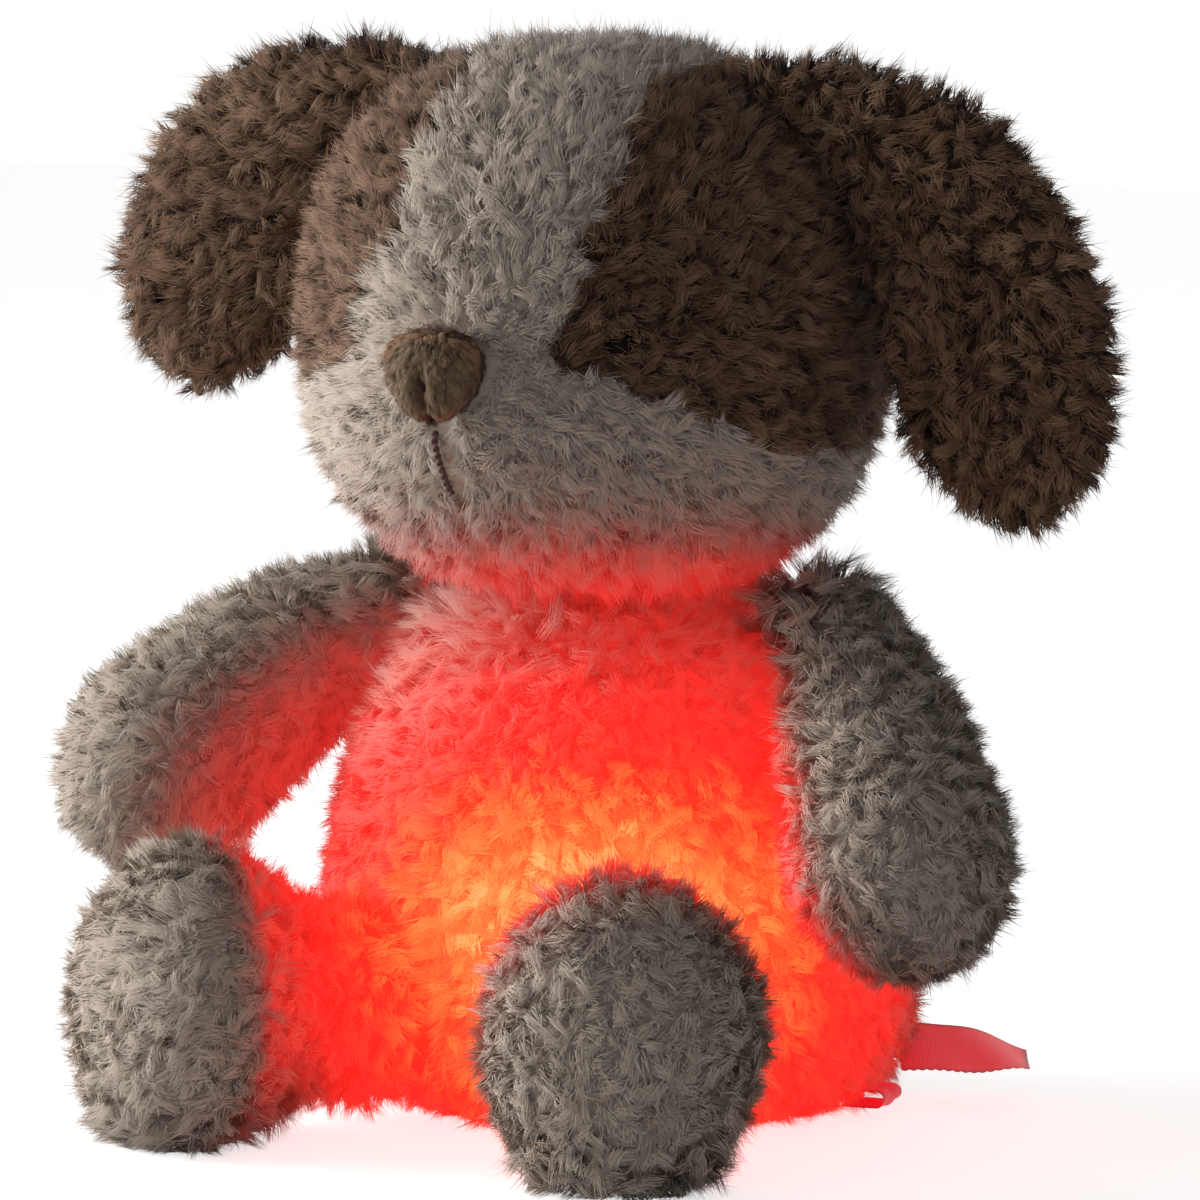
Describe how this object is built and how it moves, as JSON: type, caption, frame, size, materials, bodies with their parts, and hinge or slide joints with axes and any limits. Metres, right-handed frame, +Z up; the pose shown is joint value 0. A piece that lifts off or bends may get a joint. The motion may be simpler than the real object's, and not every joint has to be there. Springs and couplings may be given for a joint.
{
  "type": "plush night light",
  "caption": "Seated plush puppy night light with broad hanging ears, bead eyes and a battery light unit in its belly that glows orange through the pile.",
  "frame": {"origin": "bottom centre of the whole object's box, on the floor", "axes": "+Z up; the puppy faces -Y and its left side is +X"},
  "size_m": [0.2485, 0.1679, 0.2336],
  "materials": {
    "cream_plush": "matte",
    "brown_plush": "matte",
    "nose_velour": "matte",
    "mouth_thread": "satin",
    "eye_bead": "gloss",
    "label_satin": "satin",
    "hem_tape": "matte",
    "liner_mesh": "matte",
    "shell_plastic": "satin",
    "frosted_dome": "frosted",
    "key_rubber": "matte",
    "board_laminate": "satin",
    "lamp_lens": "gloss",
    "plated_steel": "satin",
    "cell_sleeve": "gloss"
  },
  "bodies": {
    "torso": {"torso": "cream_plush", "pocket_liner": "liner_mesh", "pocket_welt": "hem_tape", "care_label": "label_satin", "loop_label": "label_satin"},
    "head": {"head": "cream_plush", "nose": "nose_velour", "mouth_stitch": "mouth_thread", "left_eye": "eye_bead", "right_eye": "eye_bead"},
    "left_ear": {"left_ear": "brown_plush"},
    "right_ear": {"right_ear": "brown_plush"},
    "left_arm": {"left_arm": "cream_plush"},
    "right_arm": {"right_arm": "cream_plush"},
    "left_leg": {"left_leg": "cream_plush"},
    "right_leg": {"right_leg": "cream_plush"},
    "light_unit": {"rear_case": "shell_plastic", "diffuser_dome": "frosted_dome", "case_screw_1": "plated_steel", "case_screw_2": "plated_steel", "case_screw_3": "plated_steel", "lamp_board": "board_laminate", "lamp_1": "lamp_lens", "lamp_2": "lamp_lens", "lamp_3": "lamp_lens", "lamp_4": "lamp_lens", "lamp_lead": "hem_tape", "key_board": "board_laminate", "power_switch": "plated_steel", "colour_switch": "plated_steel", "battery_cell_1": "cell_sleeve", "battery_cell_2": "cell_sleeve", "bridge_contact": "plated_steel", "positive_contact": "plated_steel", "negative_contact": "plated_steel"},
    "cover": {"battery_cover": "shell_plastic", "cover_screw": "plated_steel"},
    "power_key": {"power_key": "key_rubber"},
    "colour_key": {"colour_key": "key_rubber"}
  },
  "joints": [
    {"name": "head_nod", "type": "hinge", "parent": "torso", "child": "head", "pos_m": [0, 0.02375, 0.1], "axis": [1, 0, 0], "range_deg": [-8, 10], "stiffness_Nm_per_rad": 0.6},
    {"name": "left_ear_lift", "type": "hinge", "parent": "head", "child": "left_ear", "pos_m": [0.0406, 0.01775, 0.2175], "axis": [0, -1, 0], "range_deg": [0, 35]},
    {"name": "right_ear_lift", "type": "hinge", "parent": "head", "child": "right_ear", "pos_m": [-0.0406, 0.01775, 0.2175], "axis": [0, 1, 0], "range_deg": [0, 35]},
    {"name": "left_arm_raise", "type": "hinge", "parent": "torso", "child": "left_arm", "pos_m": [0.0525, 0.02575, 0.103], "axis": [-1, 0, 0], "range_deg": [0, 40]},
    {"name": "right_arm_raise", "type": "hinge", "parent": "torso", "child": "right_arm", "pos_m": [-0.0525, 0.02575, 0.103], "axis": [-1, 0, 0], "range_deg": [0, 40]},
    {"name": "left_leg_splay", "type": "hinge", "parent": "torso", "child": "left_leg", "pos_m": [0.03883, -0.01963, 0.0275], "axis": [0, 0, 1], "range_deg": [-6, 14], "stiffness_Nm_per_rad": 0.3},
    {"name": "right_leg_splay", "type": "hinge", "parent": "torso", "child": "right_leg", "pos_m": [-0.03883, -0.01963, 0.0275], "axis": [0, 0, -1], "range_deg": [-6, 14], "stiffness_Nm_per_rad": 0.3},
    {"name": "unit_slide", "type": "slide", "parent": "torso", "child": "light_unit", "axis": [0, 1, 0], "range_m": [0, 0.075]},
    {"name": "cover_lift", "type": "slide", "parent": "light_unit", "child": "cover", "axis": [0, 1, 0], "range_m": [0, 0.012]},
    {"name": "power_key_press", "type": "slide", "parent": "light_unit", "child": "power_key", "axis": [0, -1, 0], "range_m": [0, 0.001], "stiffness_N_per_m": 900, "springref_m": -0.0004},
    {"name": "colour_key_press", "type": "slide", "parent": "light_unit", "child": "colour_key", "axis": [0, -1, 0], "range_m": [0, 0.001], "stiffness_N_per_m": 900, "springref_m": -0.0004}
  ]
}
